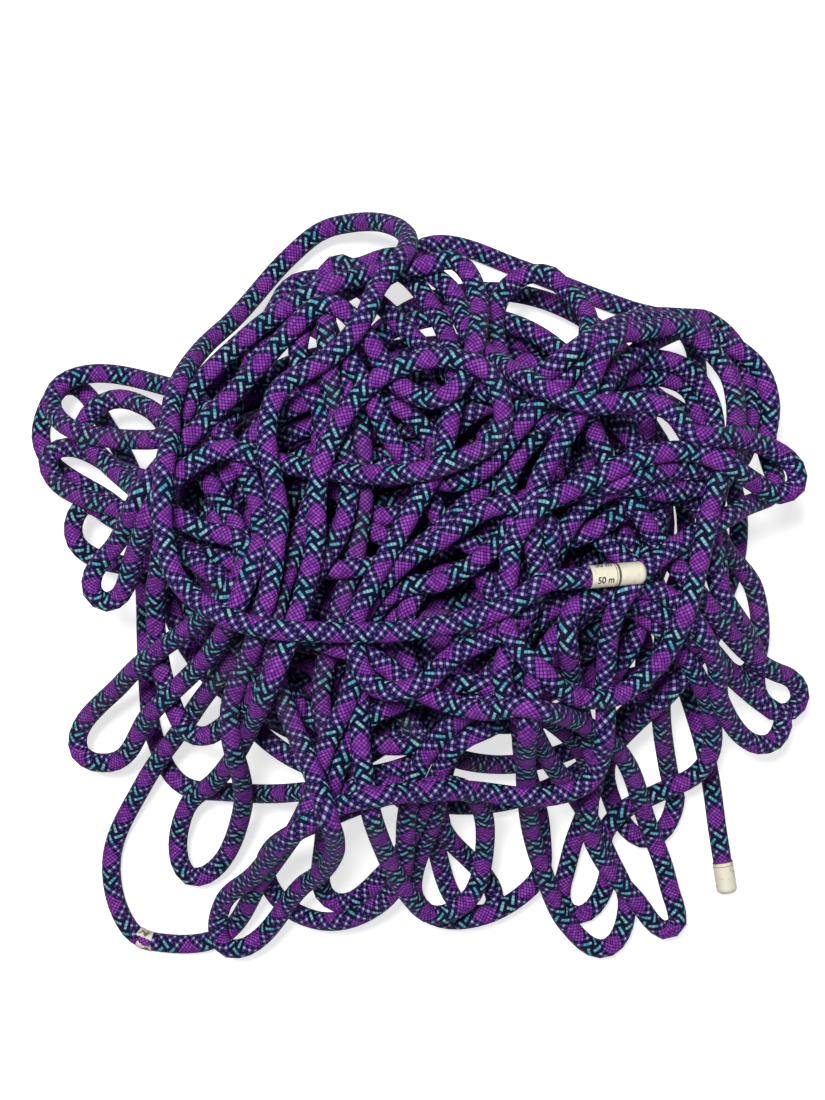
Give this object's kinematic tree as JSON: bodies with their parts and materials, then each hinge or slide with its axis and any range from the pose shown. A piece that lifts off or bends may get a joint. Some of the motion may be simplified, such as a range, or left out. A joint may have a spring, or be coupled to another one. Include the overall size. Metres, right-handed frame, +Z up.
{
  "type": "dynamic climbing rope",
  "caption": "Braided kernmantle climbing rope lying in a loose heap, with sleeved and banded ends and a worn middle mark.",
  "frame": {"origin": "on the floor under the heap, near the middle of the mound of turns", "axes": "+Z up; +X to the right and +Y away, as seen by someone who stands at the edge where end B lies to the right"},
  "size_m": [0.4333, 0.4142, 0.1698],
  "materials": {
    "sheath": "braided polyamide, purple with teal and near-black yarns",
    "core": "undyed twisted polyamide",
    "band": "printed tape",
    "sleeve": "heat-shrink film, cream, worn",
    "tip": "melted and set polyamide",
    "tape": "worn cloth tape"
  },
  "bodies": {
    "root": {"rope_lay": "sheath", "heap_core": "sheath", "end_a_sheath": "sheath", "end_a_core": "core", "end_a_band": "band", "end_a_sleeve": "sleeve", "end_a_tip": "tip", "end_b_sheath": "sheath", "end_b_core": "core", "end_b_band": "band", "end_b_sleeve": "sleeve", "end_b_tip": "tip", "middle_tape_inner": "tape", "middle_tape_outer": "tape"}
  },
  "joints": []
}
